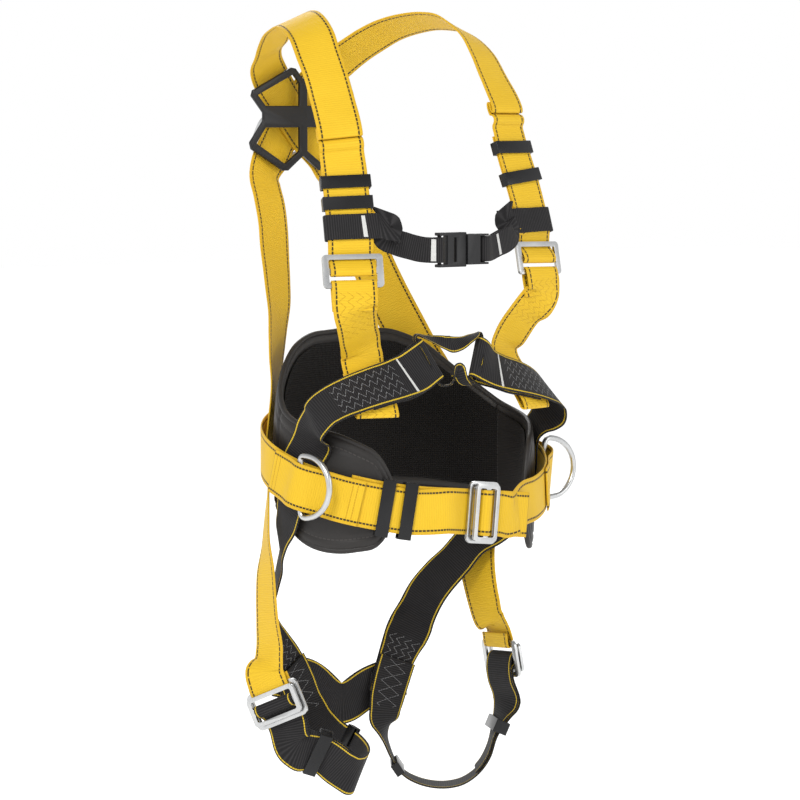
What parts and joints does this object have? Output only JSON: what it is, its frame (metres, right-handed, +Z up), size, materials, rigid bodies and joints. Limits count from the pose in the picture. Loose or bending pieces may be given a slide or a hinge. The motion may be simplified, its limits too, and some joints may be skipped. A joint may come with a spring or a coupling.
{
  "type": "safety harness",
  "caption": "Full-body fall-arrest harness with padded work-positioning belt, dorsal plate with D-ring, side D-rings, chest strap and adjustable leg loops.",
  "frame": {"origin": "the wearer's body axis at belt height", "axes": "+Z up, the wearer faces -Y, the wearer's right is -X"},
  "size_m": [0.3717, 0.3392, 0.792],
  "materials": {
    "yellow_webbing": "ribbed woven webbing",
    "black_webbing": "ribbed woven webbing with fine light edge lines",
    "steel": "bright zinc plated",
    "plastic": "moulded, slightly glossy",
    "pad_cover": "coated padded cover with piped edge",
    "pad_lining": "open spacer mesh"
  },
  "bodies": {
    "webbing": {"belt_buckle_outer": "steel", "belt_loop_left": "yellow_webbing", "belt_loop_right": "yellow_webbing", "belt_strap": "yellow_webbing", "chest_buckle_ladder": "plastic", "chest_buckle_socket": "plastic", "chest_strap_left": "black_webbing", "chest_strap_right": "black_webbing", "dorsal_plate": "plastic", "front_lower_strap_left": "yellow_webbing", "front_lower_strap_right": "yellow_webbing", "hip_strap_left": "black_webbing", "hip_strap_right": "black_webbing", "leg_buckle_outer_left": "steel", "leg_buckle_outer_right": "steel", "leg_strap_left": "black_webbing", "leg_strap_right": "black_webbing", "main_strap_left": "yellow_webbing", "main_strap_right": "yellow_webbing", "pad_lining": "pad_lining", "pad_piping": "pad_cover", "pad_shell": "pad_cover", "seat_strap": "black_webbing", "ventral_connector": "black_webbing"},
    "dorsal_ring": {"dorsal_d_ring": "steel"},
    "side_ring_right": {"side_d_ring_right": "steel"},
    "side_ring_left": {"side_d_ring_left": "steel"},
    "adjuster_plate_right": {"adjuster_right": "steel"},
    "leg_buckle_tilt_frame_right": {"leg_buckle_inner_right": "steel"},
    "adjuster_plate_left": {"adjuster_left": "steel"},
    "leg_buckle_tilt_frame_left": {"leg_buckle_inner_left": "steel"},
    "belt_buckle_tilt_frame": {"belt_buckle_inner": "steel"},
    "belt_keeper_inner_body": {"belt_keeper_inner": "plastic"},
    "belt_keeper_outer_body": {"belt_keeper_outer": "plastic"},
    "leg_keeper_inner_left_body": {"leg_keeper_inner_left": "plastic"},
    "leg_keeper_inner_right_body": {"leg_keeper_inner_right": "plastic"},
    "leg_keeper_outer_left_body": {"leg_keeper_outer_left": "plastic"},
    "leg_keeper_outer_right_body": {"leg_keeper_outer_right": "plastic"},
    "shoulder_keeper_lower_left_body": {"shoulder_keeper_lower_left": "plastic"},
    "shoulder_keeper_lower_right_body": {"shoulder_keeper_lower_right": "plastic"},
    "shoulder_keeper_upper_left_body": {"shoulder_keeper_upper_left": "plastic"},
    "shoulder_keeper_upper_right_body": {"shoulder_keeper_upper_right": "plastic"},
    "prong_upper": {"chest_prong_upper": "plastic"},
    "prong_lower": {"chest_prong_lower": "plastic"}
  },
  "joints": [
    {"name": "dorsal_ring_swing", "type": "hinge", "parent": "webbing", "child": "dorsal_ring", "pos_m": [0, 0.16196, 0.362], "axis": [1, 0, 0], "range_deg": [0, 75]},
    {"name": "side_ring_swing_right", "type": "hinge", "parent": "webbing", "child": "side_ring_right", "pos_m": [-0.159, -0.03869, 0.00516], "axis": [0, 0, 1], "range_deg": [-90, 0]},
    {"name": "side_ring_swing_left", "type": "hinge", "parent": "webbing", "child": "side_ring_left", "pos_m": [0.159, -0.03869, 0.00516], "axis": [0, 0, 1], "range_deg": [-80, 20]},
    {"name": "adjuster_tilt_right", "type": "hinge", "parent": "webbing", "child": "adjuster_plate_right", "pos_m": [-0.12, -0.072, 0.214], "axis": [-0.8935, 0.4488, -0.0144], "range_deg": [-1, 1]},
    {"name": "leg_buckle_tilt_right", "type": "hinge", "parent": "webbing", "child": "leg_buckle_tilt_frame_right", "pos_m": [-0.15672, 0.00565, -0.21449], "axis": [-0.3221, 0.865, -0.3847], "range_deg": [-3, 1]},
    {"name": "adjuster_tilt_left", "type": "hinge", "parent": "webbing", "child": "adjuster_plate_left", "pos_m": [0.12, -0.072, 0.221], "axis": [-0.9968, -0.0787, 0.0163], "range_deg": [-1, 1]},
    {"name": "leg_buckle_tilt_left", "type": "hinge", "parent": "webbing", "child": "leg_buckle_tilt_frame_left", "pos_m": [0.14808, 0.00724, -0.19106], "axis": [-0.1331, -0.9892, 0.062], "range_deg": [-3, 1]},
    {"name": "belt_buckle_tilt", "type": "hinge", "parent": "webbing", "child": "belt_buckle_tilt_frame", "pos_m": [0.00447, -0.12616, -0.0247], "axis": [0.0995, 0, 0.995], "range_deg": [-3, 1]},
    {"name": "belt_keeper_inner_slide", "type": "slide", "parent": "webbing", "child": "belt_keeper_inner_body", "axis": [0.9247, -0.3481, -0.1538], "range_m": [-0.002, 0.002]},
    {"name": "belt_keeper_outer_slide", "type": "slide", "parent": "webbing", "child": "belt_keeper_outer_body", "axis": [0.8615, -0.4778, -0.172], "range_m": [-0.002, 0.002]},
    {"name": "leg_keeper_inner_left_slide", "type": "slide", "parent": "webbing", "child": "leg_keeper_inner_left_body", "axis": [0.4389, -0.3505, -0.8274], "range_m": [-0.0015, 0.0015]},
    {"name": "leg_keeper_inner_right_slide", "type": "slide", "parent": "webbing", "child": "leg_keeper_inner_right_body", "axis": [-0.164, -0.9658, -0.2006], "range_m": [-0.001, 0.0015]},
    {"name": "leg_keeper_outer_left_slide", "type": "slide", "parent": "webbing", "child": "leg_keeper_outer_left_body", "axis": [0.3505, -0.186, 0.9179], "range_m": [-0.002, 0.0006]},
    {"name": "leg_keeper_outer_right_slide", "type": "slide", "parent": "webbing", "child": "leg_keeper_outer_right_body", "axis": [-0.8365, 0.4522, 0.3096], "range_m": [-0.001, 0.0008]},
    {"name": "shoulder_keeper_lower_left_slide", "type": "slide", "parent": "webbing", "child": "shoulder_keeper_lower_left_body", "axis": [-0.1276, 0.3027, 0.9445], "range_m": [-0.008, 0.004]},
    {"name": "shoulder_keeper_lower_right_slide", "type": "slide", "parent": "webbing", "child": "shoulder_keeper_lower_right_body", "axis": [0.0963, 0.2661, 0.9591], "range_m": [-0.002, 0.002]},
    {"name": "shoulder_keeper_upper_left_slide", "type": "slide", "parent": "webbing", "child": "shoulder_keeper_upper_left_body", "axis": [-0.0292, 0.3452, 0.9381], "range_m": [-0.004, 0.004]},
    {"name": "shoulder_keeper_upper_right_slide", "type": "slide", "parent": "webbing", "child": "shoulder_keeper_upper_right_body", "axis": [0.1178, 0.3089, 0.9438], "range_m": [-0.002, 0.007]},
    {"name": "prong_upper_press", "type": "slide", "parent": "webbing", "child": "prong_upper", "axis": [0, 0, -1], "range_m": [0, 0.0018], "stiffness_N_per_m": 600},
    {"name": "prong_lower_press", "type": "slide", "parent": "webbing", "child": "prong_lower", "axis": [0, 0, 1], "range_m": [0, 0.0018], "stiffness_N_per_m": 600}
  ],
  "couplings": [
    {"joint": "prong_lower_press", "follows": "prong_upper_press", "ratio": 1}
  ]
}
